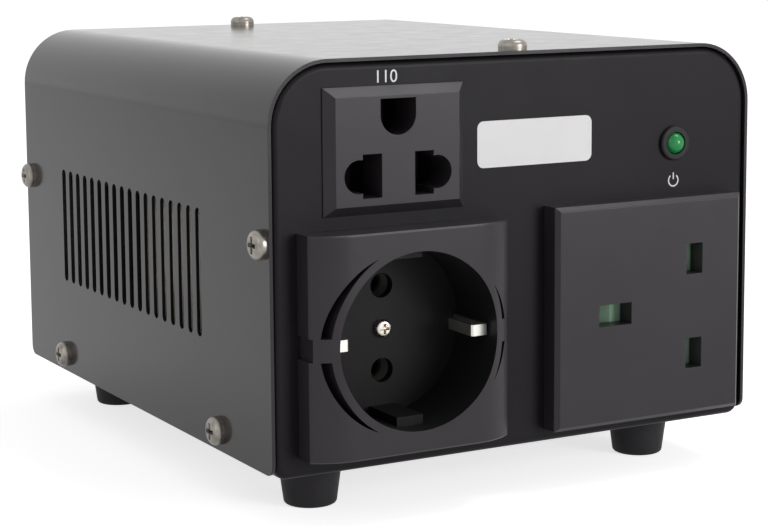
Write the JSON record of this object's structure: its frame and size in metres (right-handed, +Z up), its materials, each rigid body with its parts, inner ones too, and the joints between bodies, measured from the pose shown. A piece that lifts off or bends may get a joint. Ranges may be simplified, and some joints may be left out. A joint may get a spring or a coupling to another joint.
{
  "type": "voltage converter",
  "caption": "Free-standing step-up and step-down mains transformer: vented bent-steel case, ring transformer inside, three kinds of outlet and a lamp on the front, inlet at the rear.",
  "frame": {"origin": "under the middle of the whole object, on the surface that its feet stand on", "axes": "+X to the right of someone facing the sockets, +Y to the rear, +Z up; the front faces -Y"},
  "size_m": [0.1302, 0.167, 0.1024],
  "materials": {
    "cover_paint": "fine satin powder coat, dark grey",
    "panel_paint": "fine satin powder coat, black",
    "nickel_steel": "nickel-plated steel",
    "zinc_steel": "zinc-plated steel",
    "foot_rubber": "black moulded rubber",
    "socket_plastic": "dark grey moulded plastic",
    "black_plastic": "black moulded plastic",
    "base_plastic": "grey heat-resistant plastic",
    "shutter_plastic": "pale green plastic",
    "contact_metal": "nickel-plated brass",
    "lamp_lens": "green clear resin",
    "label_film": "blank white film",
    "core_steel": "wound strip of silicon steel",
    "copper_wire": "enamelled copper wire, wound close",
    "wrap_film": "pale yellow insulating film",
    "button_plastic": "red moulded plastic"
  },
  "bodies": {
    "root": {"cover": "cover_paint", "chassis": "panel_paint", "cover_side_screws": "nickel_steel", "cover_top_screws": "nickel_steel", "foot_front_left": "foot_rubber", "foot_front_right": "foot_rubber", "foot_rear_left": "foot_rubber", "foot_rear_right": "foot_rubber", "foot_screws": "zinc_steel", "foot_nuts": "zinc_steel", "flat_socket_body": "socket_plastic", "flat_socket_back": "base_plastic", "flat_socket_contacts": "contact_metal", "flat_socket_earth_contact": "contact_metal", "round_socket_face": "socket_plastic", "round_socket_base": "base_plastic", "round_socket_earth_clip": "contact_metal", "round_socket_contacts": "contact_metal", "round_socket_screw": "nickel_steel", "square_socket_face": "socket_plastic", "square_socket_back": "base_plastic", "square_socket_shutter_spring": "zinc_steel", "square_socket_contacts": "contact_metal", "square_socket_earth_contact": "contact_metal", "square_socket_screws": "zinc_steel", "lamp_holder": "black_plastic", "lamp": "lamp_lens", "lamp_leads": "zinc_steel", "blank_label": "label_film", "transformer_core": "core_steel", "transformer_winding": "copper_wire", "transformer_film": "wrap_film", "transformer_lower_pad": "foot_rubber", "transformer_upper_pad": "foot_rubber", "transformer_dish": "zinc_steel", "transformer_bolt": "zinc_steel", "transformer_nut": "zinc_steel", "inlet_body": "black_plastic", "inlet_pins": "contact_metal", "rocker_housing": "black_plastic", "rocker_tabs": "contact_metal", "breaker_body": "black_plastic", "breaker_nut": "nickel_steel", "breaker_tabs": "contact_metal", "earth_stud": "zinc_steel", "earth_stud_washer": "contact_metal", "earth_stud_nut": "zinc_steel"},
    "shutter": {"square_socket_shutter": "shutter_plastic"},
    "rocker": {"rocker": "black_plastic"},
    "reset_button": {"breaker_button": "button_plastic"}
  },
  "joints": [
    {"name": "shutter_slide", "type": "slide", "parent": "root", "child": "shutter", "axis": [1, 0, 0], "range_m": [0, 0.0052], "stiffness_N_per_m": 120, "springref_m": -0.004, "deforming": ["square_socket_shutter_spring"]},
    {"name": "rocker_tilt", "type": "hinge", "parent": "root", "child": "rocker", "pos_m": [0.036, 0.0739, 0.079], "axis": [0, 0, 1], "range_deg": [-12, 12]},
    {"name": "reset_button_slide", "type": "slide", "parent": "root", "child": "reset_button", "axis": [0, 1, 0], "range_m": [0, 0.003]}
  ]
}
